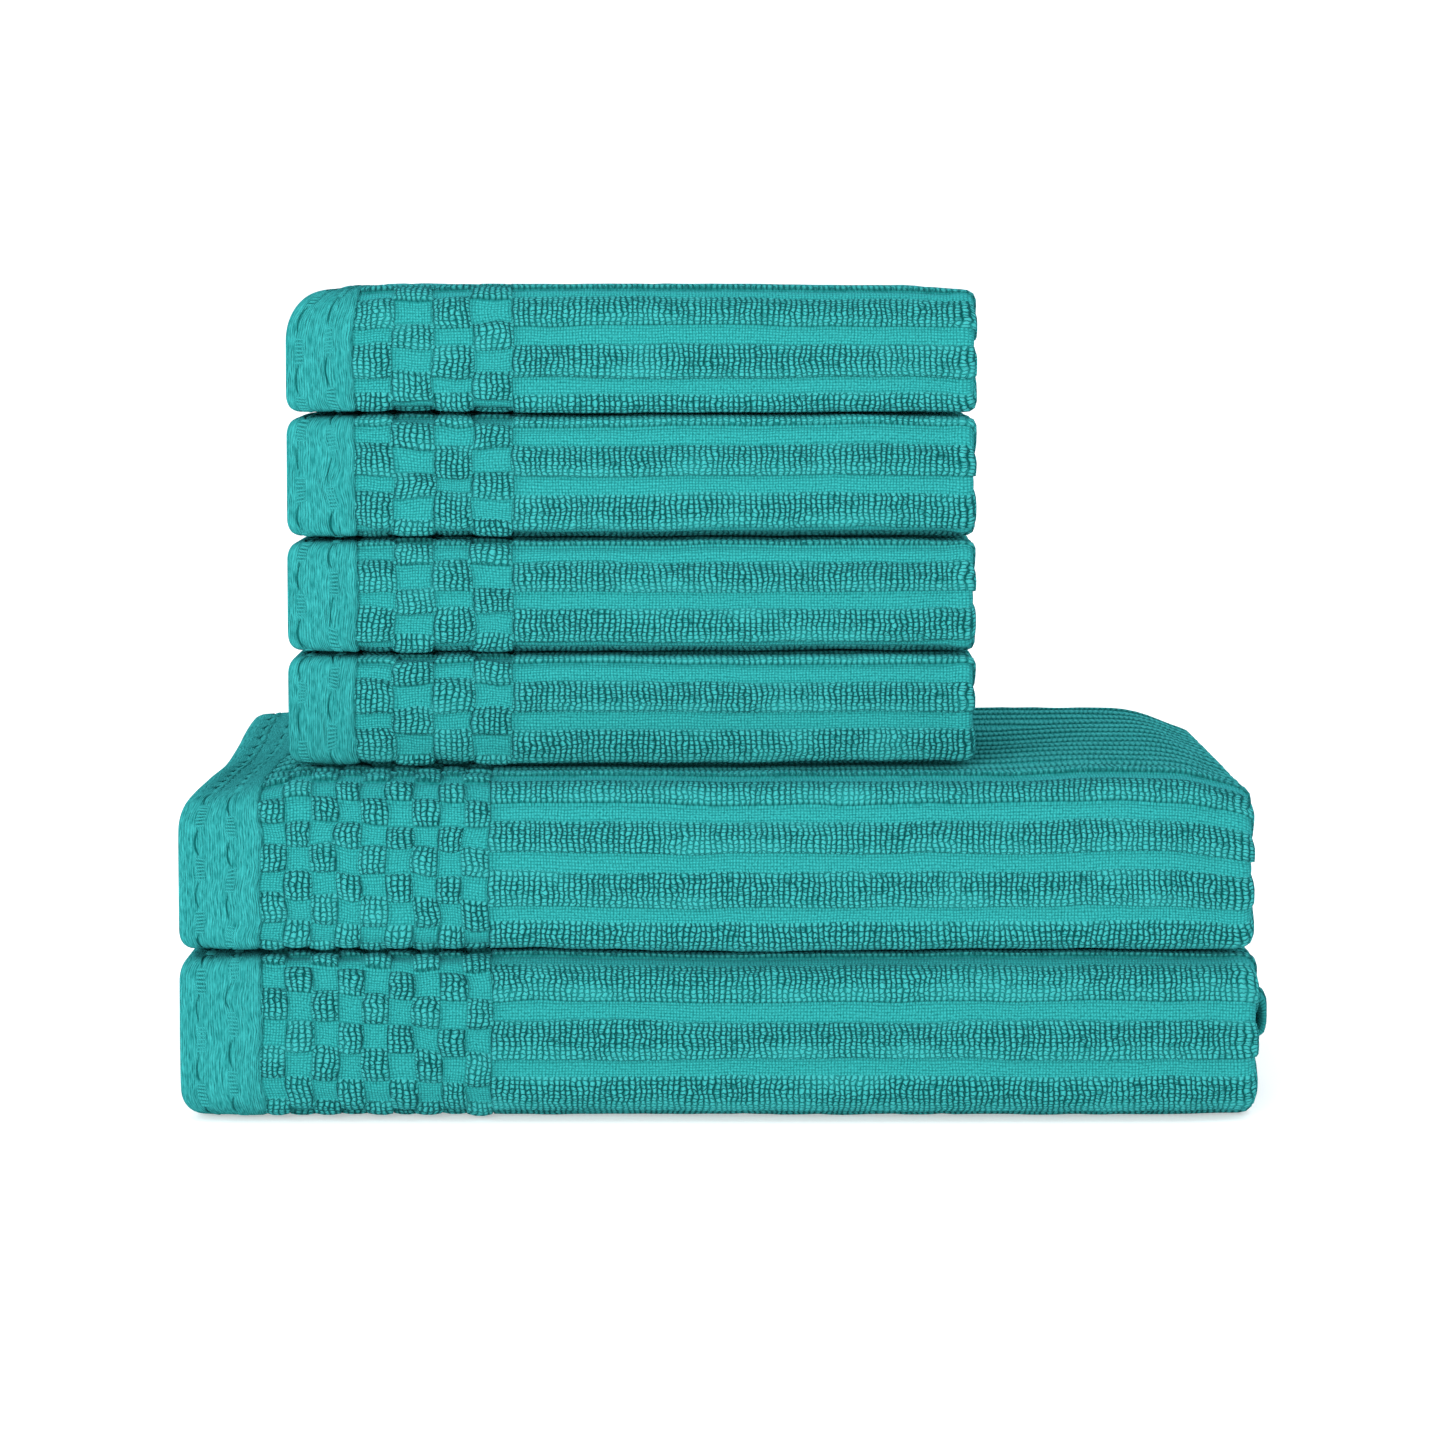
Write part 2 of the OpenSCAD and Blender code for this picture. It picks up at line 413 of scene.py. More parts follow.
    @staticmethod
    def seam_wave(x, y, level):
        """Both towels at a seam follow the same gentle wave; the floor is flat."""
        if level == 0:
            return 0.0
        return 0.55 * noise(x / 55, y / 60, 101 + level) + 0.2 * noise(x / 21, y / 30, 131 + level)

    def unloaded(self, x, y):
        """The bath towels' top swells a little where no hand towel lies on it."""
        if self.name != "bath_towel_upper":
            return 0.0
        low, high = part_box("hand_towel_1_cloth")
        away = np.maximum.reduce([low.x / MM - x, x - high.x / MM, y - high.y / MM, low.y / MM - y])
        return SWELL * smooth(away / SWELL_REACH)

    # ---- the weave

    def woven(self, s, v):
        """Where the cloth has loops, and the place (0 to 1, both ways) in its rib or check."""
        kind = self.kind
        d = np.minimum(s, kind.flat_l - s) - kind.hem
        rib = (v - self.rib_start) / self.habits.pitch
        column = np.floor(d / kind.check_w)
        checked = d < kind.checks * kind.check_w
        odd = np.mod(column + kind.first_check, 2) < 1
        start = np.where(checked, np.where(odd, kind.odd[0], kind.even[0]), 0.0)
        end = np.where(checked, np.where(odd, kind.odd[1], kind.even[1]), kind.share)
        along = np.mod(rib - start, 1.0)
        size = end - start
        pile = along < size
        q = np.where(pile, along / size, (along - size) / (1 - size))
        r = np.where(checked, d / kind.check_w - column, 0.5)
        edge = kind.flat_w - np.abs(2 * v - kind.flat_w)
        return pile & (edge > 12), q, r, checked

    def face(self, s, v):
        """The cloth's face: its height over the flat weave in millimetres, where it has
        loops, and how open they stand. Loops lie downwards, so that every rib swells
        softly from its upper edge and ends in a steep lower edge."""
        pile, q, r, checked = self.woven(s, v)
        slope = smooth(q / np.where(checked, CHECK_SLOPE, RIB_SLOPE))
        swell = UPPER_EDGE + (1 - UPPER_EDGE) * slope - LOWER_FALL * smooth((q - 0.75) / 0.25)
        sides = 1 - 0.3 * np.abs(2 * r - 1) ** 5
        uneven = 0.16 * noise(s / 4.5, v / 3.5, self.seed + 9)
        uneven = uneven + 0.16 * noise(s / 11, v / 8, self.seed + 10)
        loops = self.kind.relief * swell * sides + uneven * smooth(q / 0.3)
        plain = 0.12 - 0.3 * np.abs(2 * q - 1) ** 5 + 0.08 * noise(s / 9, v / 5, self.seed + 11)
        open_part = smooth((q + 0.3) / 0.6) * (1 - 0.45 * smooth((q - 0.55) / 0.2))
        open_part = np.where(checked, CHECK_OPEN[0] + CHECK_OPEN[1] * open_part, open_part)
        patchy = 1 + 0.35 * noise(s / 17, v / 6, self.seed + 12)
        patchy = patchy + 0.25 * noise(s / 5, v / 4, self.seed + 13)
        # The loops stand less open on the flat top than round the front; how open they stand sets
        # the depth of the gaps and their painted shade.
        bent = 0.5 + 0.5 * smooth((v - self.wrap.marks[1] + 14) / 20)
        gaps = np.clip(open_part * patchy, 0, 1) * bent
        return np.where(pile, loops, plain), pile * 1.0, pile * gaps

    def unpressed(self, s, v):
        """The share of the relief that is left: less where other layers press on the cloth,
        on the top and round the right end."""
        m = self.wrap.marks
        hidden = smooth((s - self.strip.reach - self.strip.end_turn - 4) / 16)
        low = smooth((v - m[2] + 4) / 10) * (1 - smooth((v - m[3] + 4) / 10))
        inner = smooth((v - m[4]) / 10)
        top = 1 - smooth((v - m[1] + 24) / 20)
        turned = smooth((s - self.strip.reach + 6) / 8)
        pressed = PRESSED * np.maximum(np.maximum(low, inner), hidden)
        return 1 - np.maximum(pressed, TURNED * np.maximum(top, turned))

    def thickness(self, v):
        """The cloth thins to its woven edge along both long sides."""
        edge = (self.kind.flat_w - np.abs(2 * v - self.kind.flat_w)) / 2
        return WOVEN_EDGE[0] + WOVEN_EDGE[1] * smooth(edge / 7)


# ---------------------------------------------------------------- meshes

def between(a, b, step):
    """Even places between a and b, without the two, at most a step apart."""
    count = max(int(math.ceil((b - a) / step)), 1)
    return [a + (b - a) * i / count for i in range(1, count)]


def stepped(edges, step):
    """Places around each edge of a relief, and between the edges at most step apart."""
    places = []
    for a, b in zip(edges[:-1], edges[1:]):
        room = min(EDGE, (b - a) / 3)
        places += [a + room] + between(a + room, b - room, step) + [b - room]
    return places


def rib_rows(towel):
    """Places across the width that follow the ribs, and the numbers of the few among them
    that the hidden faces use."""
    kind, pitch, start = towel.kind, towel.habits.pitch, towel.rib_start
    edges = sorted(e % 1 for e in (0, kind.share) + kind.odd + kind.even)
    rows = set()
    keep = set()
    for k in range(-2, int(kind.flat_w / pitch) + 2):
        v0 = start + k * pitch
        hidden = v0 > towel.wrap.marks[4] + 12
        places = [v0 + e * pitch for e in edges + [1 + edges[0]]]
        step = HIDDEN_RIB_STEP if hidden else RIB_STEP
        rows.update(round(v, 3) for v in stepped(places, step))
        for edge in (v0, v0 + kind.share * pitch):
            keep.update((round(edge - EDGE, 3), round(edge + EDGE, 3)))
    inside = sorted(v for v in rows | keep if 0.5 < v < kind.flat_w - 0.5)
    rows = [0.0] + inside + [kind.flat_w]
    index = [0] + [i for i, v in enumerate(rows) if v in keep] + [len(rows) - 1]
    return np.array(rows), sorted(set(index))


def cloth_columns(towel):
    """Places along the length of the outer face: the fine ones of the outer layer and the
    others, and then those of the face under it."""
    kind, strip = towel.kind, towel.strip
    start, end = kind.hem, kind.flat_l - kind.hem
    border = [kind.hem + i * kind.check_w for i in range(kind.checks + 1)]
    fine = [start] + stepped(border, CHECK_STEP)
    fine += [border[-1] + EDGE] + between(border[-1] + EDGE, strip.reach - 4, OUTER_STEP)
    turn_end = strip.reach + strip.end_turn
    fine += [strip.reach - 4 + (strip.end_turn + 8) * i / 18 for i in range(19)]
    coarse = []
    at = 0.0
    for size, turn in strip.runs:
        length = size if turn == 0 else math.pi * size
        if turn == 0:
            coarse += [at] + between(at, at + length, HIDDEN_STEP)
        else:
            coarse += [at + length * i / 8 for i in range(8)]
        at += length
    rest = [s for s in coarse if turn_end + 8 < s < end - 2] + [end]
    back = [s for s in coarse if start + 2 < s < end - 2]
    return np.array(sorted(fine)), np.array(rest), np.array([start] + back + [end])


class MeshParts:
    """Collects grids of points and the faces that join them into one closed sheet."""

    def __init__(self):
        self.points, self.flat, self.pile, self.faces = [], [], [], []
        self.count = 0

    def lay(self, towel, s, v, out, height, loops=0.0, gaps=0.0):
        """Adds the points of a grid of flat places, with what the materials read there: the
        relief's height, where loops are and how open they stand. Returns their numbers."""
        s, v, out, height, loops, gaps = np.broadcast_arrays(s, v, out, height, loops, gaps)
        rows, cols = s.shape
        number = self.count + np.arange(rows * cols).reshape(rows, cols)
        self.points.append(towel.place(s, v, out).reshape(-1, 3))
        self.flat.append(np.stack([s, v, height], axis=-1).reshape(-1, 3))
        self.pile.append(np.stack([loops, gaps, 0 * gaps], axis=-1).reshape(-1, 3))
        self.count += rows * cols
        return number

    def grid(self, towel, s, v, out, height, flip, loops=0.0, gaps=0.0):
        """Adds a grid with its faces, and returns the numbers of its points."""
        number = self.lay(towel, s, v, out, height, loops, gaps)
        quads = np.stack([number[:-1, :-1], number[1:, :-1], number[1:, 1:], number[:-1, 1:]], -1)
        quads = quads.reshape(-1, 4)
        self.faces.append(quads[:, ::-1] if flip else quads)
        return number

    def join(self, many, few, index, flip):
        """Joins a line of many points to a line of few, which face many[index]."""
        quads = []
        for i in range(len(few) - 1):
            run = many[index[i]:index[i + 1] + 1]
            middle = len(run) // 2
            for k in range(len(run) - 1):
                tip = few[i] if k < middle else few[i + 1]
                quads.append((run[k], run[k + 1], tip, tip))
            quads.append((run[middle], few[i + 1], few[i], few[i]))
        quads = np.array(quads)
        self.faces.append(quads[:, [0, 2, 1, 1]] if flip else quads)

    def build(self, name):
        """Makes the mesh object; a face that repeats its last point is a triangle."""
        faces = np.concatenate(self.faces)
        triangle = faces[:, 2] == faces[:, 3]
        totals = np.where(triangle, 3, 4)
        corners = faces.ravel()[(np.arange(4)[None, :] < totals[:, None]).ravel()]
        mesh = bpy.data.meshes.new(name)
        mesh.vertices.add(self.count)
        mesh.vertices.foreach_set("co", np.concatenate(self.points).astype(np.float32).ravel())
        mesh.loops.add(len(corners))
        mesh.loops.foreach_set("vertex_index", corners.astype(np.int32))
        mesh.polygons.add(len(totals))
        starts = np.concatenate([[0], np.cumsum(totals)[:-1]])
        mesh.polygons.foreach_set("loop_start", starts.astype(np.int32))
        for label, values in (("weave", self.flat), ("pile", self.pile)):
            data = mesh.attributes.new(label, "FLOAT_VECTOR", "POINT").data
            data.foreach_set("vector", np.concatenate(values).astype(np.float32).ravel())
        mesh.update(calc_edges=True)
        mesh.validate()
        mesh.shade_smooth()
        obj = bpy.data.objects.new(name, mesh)
        bpy.context.scene.collection.objects.link(obj)
        return obj


def make_cloth(towel):
    """The terry cloth between its two hems, as one closed folded sheet."""
    rows, few = rib_rows(towel)
    fine, rest, back = cloth_columns(towel)
    parts = MeshParts()

    def face(columns, places):
        s, v = columns[None, :], places[:, None]
        rise, loops, gaps = towel.face(s, v)
        left = towel.unpressed(s, v)
        base = towel.half - towel.kind.relief * WEAVE_DEPTH * left
        out = np.minimum(base * towel.thickness(v) + rise * left, towel.half)
        return parts.grid(towel, s, v, out, rise, False, loops, gaps)

    outer = face(fine, rows)
    hidden = face(rest, rows[few])
    s, v = back[None, :], rows[few][:, None]
    under = parts.grid(towel, s, v, -towel.half * towel.thickness(v), 0.0, True)
    parts.join(outer[:, -1], hidden[:, 0], few, False)
    parts.join(outer[:, 0], under[:, 0], few, True)
    straight = list(range(len(few)))
    parts.join(hidden[:, -1], under[:, -1], straight, False)
    top_line = np.concatenate([fine, rest])
    index = [int(np.abs(top_line - b).argmin()) for b in back]
    parts.join(np.concatenate([outer[0], hidden[0]]), under[0], index, False)
    parts.join(np.concatenate([outer[-1], hidden[-1]]), under[-1], index, True)
    return parts.build(towel.name + "_cloth_sheet")


def hem_relief(towel, d, v):
    """Height of the hem's satin: two sewn lines, each a row of ladders and slit pods."""
    height = 0.14 * noise(d / 6, v / 13, towel.seed + 21)
    height = height + 0.05 * noise(d / 2.5, v / 7, towel.seed + 22) - 0.15
    for n, line in enumerate(towel.kind.lines):
        along = np.mod((v - stitch_start(towel, n)) / STITCH_PERIOD, 1.0)
        ladder = smooth(along / 0.05) * smooth((LADDER - along) / 0.05)
        height = height - ridge(d - line, LADDER_DIP) * ladder
        q = np.clip((along - LADDER) / (1 - LADDER), 0, 1)
        belly = POD_BELLY * np.sin(math.pi * q) ** 0.7
        pod = smooth((along - LADDER) / 0.05) * smooth((1 - along) / 0.05)
        height = height + ridge(d - line, POD_RISE) * pod
        for side, depth in SLITS:
            height = height - ridge(d - line + side * belly, (depth, SLIT_HALF)) * pod
    return height


def ridge(away, size):
    """A soft ridge of a height and a half width."""
    height, half = size
    return height * np.exp(-(away / half) ** 2)


def stitch_start(towel, n):
    """Where the first ladder of a sewn line starts, different on every towel."""
    return 1.5 + STITCH_PERIOD * (n * 0.42 + 0.5 * (1 + float(noise(towel.seed, n * 1.7, 5))) * 0.9)


def make_hem(towel, covered):
    """A hem: a flat tube of satin-woven cloth along the towel's end, with its edge rounded
    and its relief where it is stitched. The covered one is at the cloth's inner end."""
    kind = towel.kind
    parts = MeshParts()
    thick = towel.half * HEM_THICK
    across = [thick * (1 - math.cos(math.radians(a))) for a in (0, 15, 30, 50, 70, 90)]
    for line in kind.lines:
        across += [line + side for side in LINE_PLACES]
    before, after = LINE_PLACES[0], LINE_PLACES[-1]
    across += between(kind.lines[0] + after, kind.lines[1] + before, SATIN_STEP)
    across += between(kind.lines[1] + after, kind.hem, SATIN_STEP) + [kind.hem + 0.4]
    across = np.array(sorted(across))
    step = HIDDEN_HEM_STEP if covered else HEM_STEP
    rows = np.array([0.0] + between(0.0, kind.flat_w, step) + [kind.flat_w])
    d, v = across[None, :], rows[:, None]
    round_off = np.sqrt(np.clip(1 - (1 - np.clip(d / thick, 0, 1)) ** 2, 0, 1))
    relief = hem_relief(towel, d, v)
    step_down = 0.45 * smooth((d - kind.hem + 1.6) / 1.8)
    top = np.minimum(thick + relief - step_down, towel.half)
    top = top * round_off * towel.thickness(v)
    low = -thick * round_off * towel.thickness(v)
    s = kind.flat_l - d if covered else d
    face = parts.grid(towel, s, v, top, relief, covered)
    under = parts.grid(towel, s, v, low, relief, not covered)
    every = list(range(len(rows)))
    parts.join(face[:, -1], under[:, -1], every, covered)
    whole = list(range(len(across)))
    parts.join(face[0], under[0], whole, covered)
    parts.join(face[-1], under[-1], whole, not covered)
    parts.join(face[:, 0], under[:, 0], every, not covered)
    return parts.build(towel.name + ("_inner_hem_band" if covered else "_outer_hem_band"))


def make_stitching(towel):
    """The thread that shows on the outer hem: short bars side by side, like ladders."""
    kind, seed = towel.kind, towel.seed
    parts = MeshParts()
    a = np.linspace(0, 2 * math.pi, BAR_SIDES + 1)[None, :-1]
    reach, girth = np.array(BAR_RINGS).T
    rings = len(BAR_RINGS)
    for n, line in enumerate(kind.lines):
        starts = np.arange(stitch_start(towel, n), kind.flat_w - 12, STITCH_PERIOD)
        bars = (starts[:, None] + (np.arange(BARS) + 0.6) * STITCH_PERIOD * LADDER / BARS).ravel()
        bars = bars + 0.15 * noise(bars * 0.9, 0.3, seed + 31)
        size = BAR_HALF + 0.35 * noise(bars * 1.3, 0.7, seed + 33)
        tilt = 0.15 * noise(bars / 4, 0.1, seed + 32)
        along = (size[:, None] * reach).reshape(-1, 1)
        thick = np.tile(girth, len(bars))[:, None]
        s = line + along + 0 * a
        v = np.repeat(bars, rings)[:, None] + thick * np.cos(a)
        v = v + np.repeat(tilt, rings)[:, None] * along
        out = np.minimum(towel.half * HEM_THICK - 0.4 + 0.9 * thick * np.sin(a), towel.half)
        numbers = parts.lay(towel, s, v, out, 0.0)
        parts.faces += tube_faces(numbers.reshape(len(bars), rings, BAR_SIDES))
    return parts.build(towel.name + "_hem_thread")


def tube_faces(rings):
    """The faces of closed tubes, from the numbers of their points: tube, ring, place."""
    turned = np.roll(rings, -1, axis=2)
    sides = np.stack([rings[:, :-1], rings[:, 1:], turned[:, 1:], turned[:, :-1]], -1)
    caps = []
    for ring, order in ((rings[:, 0], (0, 1, 2)), (rings[:, -1], (0, 2, 1))):
        for k in range(1, BAR_SIDES - 1):
            tri = np.stack([ring[:, 0], ring[:, k], ring[:, k + 1]], -1)[:, order]
            caps.append(np.concatenate([tri, tri[:, 2:]], axis=1))
    return [sides.reshape(-1, 4)] + caps


# ---------------------------------------------------------------- materials

class Nodes:
    """Short ways to write a material's node tree."""

    def __init__(self, name):
        self.material = bpy.data.materials.new(name)
        self.material.use_nodes = True
        self.tree = self.material.node_tree
        self.shader = self.tree.nodes["Principled BSDF"]

    def make(self, kind, **settings):
        node = self.tree.nodes.new(kind)
        for key, value in settings.items():
            setattr(node, key, value)
        return node

    def plug(self, socket, value):
        if isinstance(value, bpy.types.NodeSocket):
            self.tree.links.new(value, socket)
        else:
            socket.default_value = value

    def math(self, operation, a, b=0.0, c=0.0):
        node = self.make("ShaderNodeMath", operation=operation)
        for socket, value in zip(node.inputs, (a, b, c)):
            self.plug(socket, value)
        return node.outputs[0]

    def mix(self, share, a, b):
        node = self.make("ShaderNodeMix", data_type="FLOAT")
        for socket, value in zip((node.inputs[0], node.inputs[2], node.inputs[3]), (share, a, b)):
            self.plug(socket, value)
        return node.outputs[0]

    def tint(self, share, a, b):
        node = self.make("ShaderNodeMix", data_type="RGBA")
        for socket, value in zip((node.inputs[0], node.inputs[6], node.inputs[7]), (share, a, b)):
            self.plug(socket, value)
        return node.outputs[2]

    def vector(self, x, y):
        place = self.make("ShaderNodeCombineXYZ")
        self.plug(place.inputs[0], x)
        self.plug(place.inputs[1], y)
        return place.outputs[0]

    def noise(self, x, y, wide, high, detail=2.0):
        """Smooth noise from 0 to 1, so wide and so high from bump to bump."""
        node = self.make("ShaderNodeTexNoise")
        node.inputs["Scale"].default_value = 1.0
        node.inputs["Detail"].default_value = detail
        place = self.vector(self.math("DIVIDE", x, wide), self.math("DIVIDE", y, high))
        self.plug(node.inputs["Vector"], place)
        return node.outputs["Fac"]

    def sway(self, x, y, wide, high):
        """The same about 0."""
        return self.math("SUBTRACT", self.noise(x, y, wide, high), 0.5)

    def random(self, x, y):
        node = self.make("ShaderNodeTexWhiteNoise", noise_dimensions="2D")
        self.plug(node.inputs["Vector"], self.vector(x, y))
        return node.outputs["Value"]

    def cells(self, x, y, randomness):
        """Irregular cells: (how far a place is from their borders, a number of their own)."""
        place = self.vector(x, y)
        found = []
        for feature, output in (("DISTANCE_TO_EDGE", "Distance"), ("F1", "Color")):
            node = self.make("ShaderNodeTexVoronoi", voronoi_dimensions="2D", feature=feature)
            node.inputs["Scale"].default_value = 1.0
            node.inputs["Randomness"].default_value = randomness
            self.plug(node.inputs["Vector"], place)
            found.append(node.outputs[output])
        split = self.make("ShaderNodeSeparateXYZ")
        self.plug(split.inputs[0], found[1])
        return found[0], split.outputs[0]

    def between(self, value, low, high):
        """A smooth step from 0 at one value to 1 at another."""
        node = self.make("ShaderNodeMapRange", interpolation_type="SMOOTHSTEP")
        node.inputs["From Min"].default_value = low
        node.inputs["From Max"].default_value = high
        self.plug(node.inputs["Value"], value)
        return node.outputs["Result"]

    def ramp(self, value, stops):
        """Colours at stops from dark to light."""
        node = self.make("ShaderNodeValToRGB")
        elements = node.color_ramp.elements
        for i, (place, colour) in enumerate(stops):
            stop = elements[i] if i < 2 else elements.new(place)
            stop.position, stop.color = place, colour
        self.plug(node.inputs[0], value)
        return node.outputs[0]

    def split(self, name):
        """The three numbers of a mesh attribute."""
        source = self.make("ShaderNodeAttribute", attribute_name=name)
        split = self.make("ShaderNodeSeparateXYZ")
        self.tree.links.new(source.outputs["Vector"], split.inputs[0])
        return split.outputs[0], split.outputs[1], split.outputs[2]

    def arch(self, phase):
        """0 at whole numbers and 1 half-way between, round on top."""
        u = self.math("SUBTRACT", self.math("MULTIPLY", self.math("FRACT", phase), 2.0), 1.0)
        return self.math("SUBTRACT", 1.0, self.math("MULTIPLY", u, u))

    def bump(self, height, distance):
        node = self.make("ShaderNodeBump")
        node.inputs["Distance"].default_value = distance
        node.inputs["Strength"].default_value = 1.0
        self.plug(node.inputs["Height"], height)
        self.tree.links.new(node.outputs[0], self.shader.inputs["Normal"])

    def cotton(self, roughness, sheen):
        """Matte yarn whose fine fibres catch some light at a glancing view."""
        self.shader.inputs["Roughness"].default_value = roughness
        self.shader.inputs["Specular IOR Level"].default_value = 0.0
        self.shader.inputs["Sheen Weight"].default_value = sheen
        self.shader.inputs["Sheen Roughness"].default_value = 0.5
        self.shader.inputs["Sheen Tint"].default_value = FIBRE


LOOP_PITCH = 1.87        # from one column of loops to the next
LOOSENESS = 0.45         # how irregularly the loops stand
WEAVE_PITCH = 1.03       # from one warp yarn to the next in the flat weave,
CROSS_PITCH = 1.1        # and from one crossing yarn to the next
SATIN_PITCH = 0.8        # from one upright float of the satin to the next
SATIN_FLOAT = 9.0        # length of a float
# Painted shade, in the gaps between the loops and under the lower edges of the ribs:
PAINTED_PILE_SHADE = (0.0005, 0.050, 0.047, 1)
PILE = (0.011, 0.175, 0.168, 1)
PILE_LIGHT = (0.034, 0.290, 0.282, 1)
FLAT_DARK = (0.003, 0.090, 0.087, 1)
FLAT_LIGHT = (0.030, 0.325, 0.316, 1)
SATIN_DARK = (0.004, 0.110, 0.108, 1)
SATIN_LIGHT = (0.033, 0.304, 0.298, 1)
# Painted shade, in the dents and slits of the hem's stitching:
PAINTED_GROOVE_SHADE = (0.003, 0.085, 0.082, 1)
FIBRE = (0.12, 0.75, 0.85, 1)


def pile_height(n, s, v, gaps, rise):
    """Loops in wandering columns, each apart from the next, with gaps that are deeper where the
    loops stand open, and there with creases along the rib. The material also colours by this
    height, so the gaps and the creases are painted shade."""
    column = n.math("DIVIDE", s, LOOP_PITCH)
    phase = n.math("MULTIPLY_ADD", n.sway(s, v, 7.0, 5.0), 1.5, column)
    rung = n.math("MULTIPLY_ADD", n.sway(s, v, 1.6, 2.4), 1.3, n.math("DIVIDE", v, rise))
    border, own = n.cells(n.math("ADD", phase, 0.5 + LOOSENESS / 2), rung, LOOSENESS)
    apart = n.math("MULTIPLY_ADD", n.between(border, 0.0, 0.16), 0.75, 0.25)
    upright = n.math("POWER", n.arch(phase), 0.6)
    # creases along the rib, painted as shade where the loops stand open
    streak = n.between(n.noise(s, v, 6.0, 0.8), 0.58, 0.68)
    whole = n.math("SUBTRACT", 1.0, n.math("MULTIPLY", n.math("MULTIPLY", streak, gaps), 0.45))
    tuft = n.math("MULTIPLY", n.math("MULTIPLY", upright, apart), whole)
    blob = n.math("MULTIPLY", tuft, n.math("MULTIPLY_ADD", own, 0.25, 0.85))
    open_gap = n.math("MULTIPLY_ADD", gaps, 0.85, 0.25)
    return n.math("SUBTRACT", 1.0, n.math("MULTIPLY", open_gap, n.math("SUBTRACT", 1.0, blob)))


def flat_height(n, s, v):
    """Fine upright yarns, crossed by others, with small dark holes in between."""
    sway = n.sway(s, v, 6.0, 6.0)
    yarn = n.arch(n.math("MULTIPLY_ADD", sway, 0.8, n.math("DIVIDE", s, WEAVE_PITCH)))
    cross = n.arch(n.math("MULTIPLY_ADD", sway, 0.8, n.math("DIVIDE", v, CROSS_PITCH)))
    grain = n.noise(s, v, 0.7, 1.0)
    dots = n.math("MULTIPLY", n.math("MULTIPLY", yarn, cross), 0.6)
    return n.math("MULTIPLY_ADD", grain, 1.1, n.math("SUBTRACT", dots, 0.3))


def terry_material(kind):
    """Terry with loops on its ribs and checks and a fine flat weave between them. Shade is painted
    into its colour: in the gaps between the loops, and as a shadow under the steep lower edges of
    the ribs."""
    n = Nodes(kind.kind + "_terry")
    s, v, height = n.split("weave")
    looped, gaps, _ = n.split("pile")
    pile = n.between(looped, 0.4, 0.6)
    # A painted shadow along the steep lower edge of each rib, broken into dots by the columns of
    # loops.
    step = n.math("MULTIPLY", n.math("MULTIPLY", looped, n.math("SUBTRACT", 1.0, looped)), 4.0)
    steep = n.between(height, kind.relief * 0.1, kind.relief * 0.32)
    dots = n.math("MULTIPLY_ADD", n.arch(n.math("DIVIDE", s, LOOP_PITCH)), -0.5, 0.95)
    shadow = n.math("MULTIPLY", n.math("MULTIPLY", step, steep), dots)
    loops, weave = pile_height(n, s, v, gaps, kind.loop_rise), flat_height(n, s, v)
    # Painted shade by the loops' height: darkest in the gaps, lightest on the loops' tops.
    terry = n.ramp(loops, ((0.2, PAINTED_PILE_SHADE), (0.55, PILE), (0.92, PILE_LIGHT)))
    woven = n.tint(weave, FLAT_DARK, FLAT_LIGHT)
    # The flat weave or the loops, darkened where the painted shadow falls.
    n.plug(n.shader.inputs["Base Color"], n.tint(shadow, n.tint(pile, woven, terry), PAINTED_PILE_SHADE))
    n.bump(n.mix(pile, n.math("MULTIPLY_ADD", weave, 0.25, 0.5), loops), 0.001)
    n.cotton(0.95, 0.2)
    return n.material


def satin_material(kind):
    """Satin weave of the hem: long, fine, upright floats with a soft shine, and painted shade in
    the dents and slits where it is stitched.
    """
    n = Nodes(kind.kind + "_satin")
    s, v, relief = n.split("weave")
    lane = n.math("MULTIPLY_ADD", n.sway(s, v, 6.0, 11.0), 3.0, n.math("DIVIDE", s, SATIN_PITCH))
    column = n.math("FLOOR", lane)
    float_place = n.math("ADD", n.math("DIVIDE", v, SATIN_FLOAT), n.random(column, 3.0))
    shade = n.random(column, n.math("FLOOR", float_place))
    yarn = n.math("POWER", n.arch(lane), 0.6)
    fine = n.noise(n.math("MULTIPLY", lane, 1.2), v, 1.0, 3.5, 3.0)
    lanes = n.math("MULTIPLY", yarn, n.math("MULTIPLY_ADD", shade, 0.35, 0.25))
    height = n.math("SUBTRACT", n.math("MULTIPLY_ADD", fine, 1.9, lanes), 0.7)
    # Painted shade where the stitching pulls the satin down, in the ladders' dents and the pods'
    # slits.
    groove_shade = n.math("SUBTRACT", 1.0, n.between(relief, -0.75, -0.3))
    woven = n.tint(height, SATIN_DARK, SATIN_LIGHT)
    n.plug(n.shader.inputs["Base Color"], n.tint(groove_shade, woven, PAINTED_GROOVE_SHADE))
    n.bump(height, 0.0005)
    n.cotton(0.9, 0.08)
    return n.material


def thread_material():
    """Twisted cotton sewing thread."""
    n = Nodes("sewing_thread")
    s, v, _ = n.split("weave")
    twist = n.arch(n.math("ADD", n.math("DIVIDE", s, 0.55), n.math("DIVIDE", v, 0.9)))
    n.plug(n.shader.inputs["Base Color"], n.tint(twist, SATIN_DARK, SATIN_LIGHT))
    n.bump(twist, 0.0001)
    n.cotton(0.9, 0.2)
    return n.material


# ---------------------------------------------------------------- studio

# The studio, in metres, watts and degrees
SKY_COLOUR, SKY_STRENGTH = (0.94, 0.98, 1.03, 1), 1.27
FLOOR_SIZE, FLOOR_GREY, FLOOR_GLOW = 60, 0.75, 0.42
FLOOR_UNDER = 0.0002     # keeps the floor off the lowest points
KEY_PLACE, KEY_SIZE, KEY_POWER = (-0.6, -2.8, 0.6), 1.1, 76
LENS = 124.3
EYE_ASIDE, EYE_AWAY, EYE_HEIGHT = 0.0015, 1.63, 0.277
EYE_DOWN = 5.04


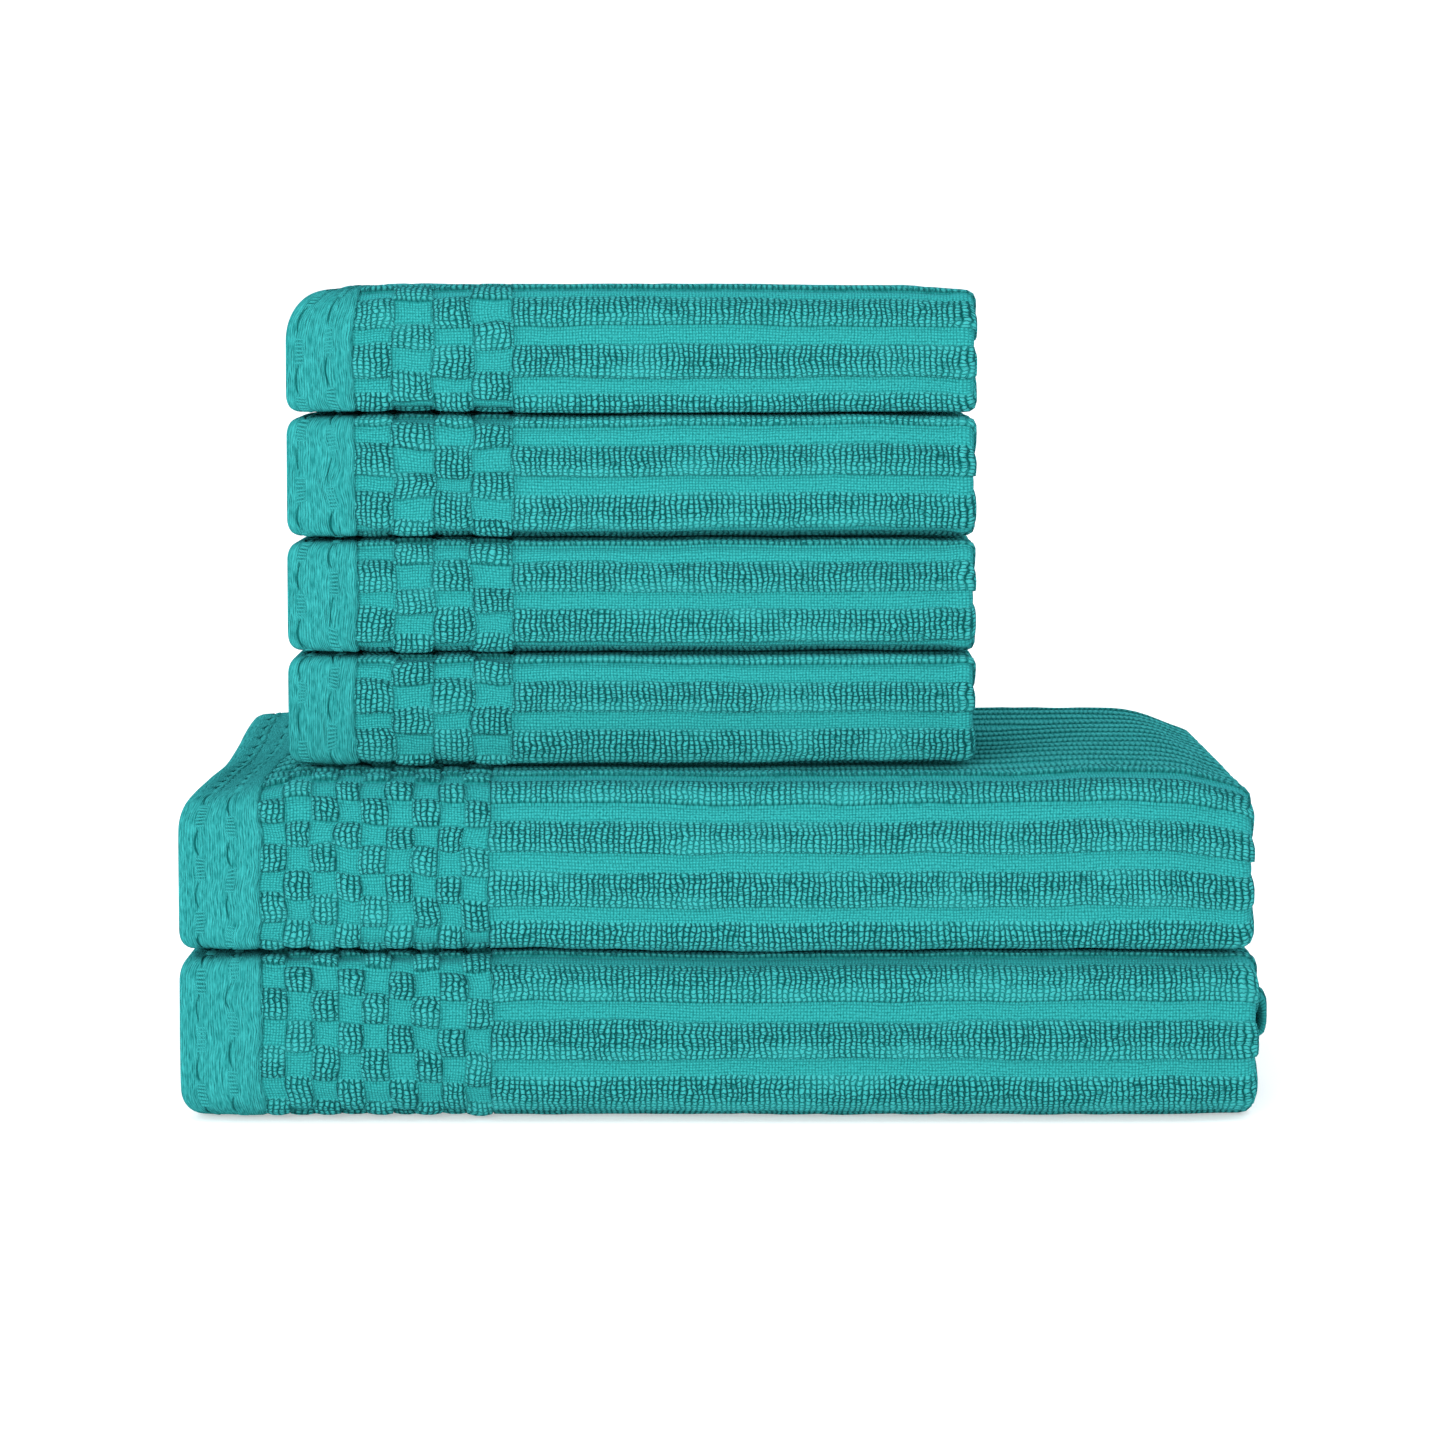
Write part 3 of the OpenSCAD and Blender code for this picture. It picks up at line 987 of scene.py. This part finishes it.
def make_studio():
    """A white floor that glows a little, a white surround, a soft light in front and a
    camera."""
    scene = bpy.context.scene
    scene.view_settings.view_transform = "Standard"
    scene.world = bpy.data.worlds.new("studio")
    scene.world.use_nodes = True
    sky = scene.world.node_tree.nodes["Background"]
    sky.inputs["Color"].default_value = SKY_COLOUR
    sky.inputs["Strength"].default_value = SKY_STRENGTH

    bpy.ops.mesh.primitive_plane_add(size=FLOOR_SIZE, location=(0, 0, -FLOOR_UNDER))
    floor = bpy.context.object
    floor.name = "studio_floor"
    pale = Nodes("pale_floor")
    pale.shader.inputs["Base Color"].default_value = (FLOOR_GREY, FLOOR_GREY, FLOOR_GREY, 1)
    pale.shader.inputs["Emission Color"].default_value = (1, 1, 1, 1)
    pale.shader.inputs["Emission Strength"].default_value = FLOOR_GLOW
    pale.shader.inputs["Roughness"].default_value = 1.0
    pale.shader.inputs["Specular IOR Level"].default_value = 0.0
    floor.data.materials.append(pale.material)

    add_light("key", KEY_PLACE, KEY_SIZE, KEY_POWER)
    camera = bpy.data.cameras.new("camera")
    camera.lens = LENS
    camera.sensor_width = 36.0
    camera.clip_start, camera.clip_end = 0.05, 100
    eye = bpy.data.objects.new("camera", camera)
    low, _ = cad_box
    eye.location = (EYE_ASIDE, low.y - EYE_AWAY, EYE_HEIGHT)
    eye.rotation_euler = (math.radians(90 - EYE_DOWN), 0, 0)
    scene.collection.objects.link(eye)
    scene.camera = eye


def add_light(name, place, size, power):
    """A square soft light that faces the middle of the stack."""
    light = bpy.data.lights.new(name, "AREA")
    light.size, light.energy = size, power
    lamp = bpy.data.objects.new(name, light)
    lamp.location = place
    low, high = cad_box
    aim = (low + high) / 2 - lamp.location
    lamp.rotation_euler = aim.to_track_quat("-Z", "Y").to_euler()
    bpy.context.scene.collection.objects.link(lamp)


# ---------------------------------------------------------------- the set

def dress(piece, towel, nodes, material):
    """Gives a piece its material and lets it ride in place of its CAD nodes."""
    piece.data.materials.append(material)
    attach(piece, towel.name)
    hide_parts(*nodes)


def main():
    make_studio()
    terry = {kind.kind: terry_material(kind) for kind in (BATH, HAND)}
    satin = {kind.kind: satin_material(kind) for kind in (BATH, HAND)}
    thread = thread_material()
    for level, name in enumerate(TOWELS):
        towel = Towel(name, level)
        kind = towel.kind
        cloth = make_cloth(towel)
        outer, inner = make_hem(towel, False), make_hem(towel, True)
        stitches = make_stitching(towel)
        dress(cloth, towel, [name + "_cloth"], terry[kind.kind])
        dress(outer, towel, [name + "_outer_hem"], satin[kind.kind])
        dress(inner, towel, [name + "_inner_hem"], satin[kind.kind])
        dress(stitches, towel, [name + "_hem_stitching"], thread)


main()
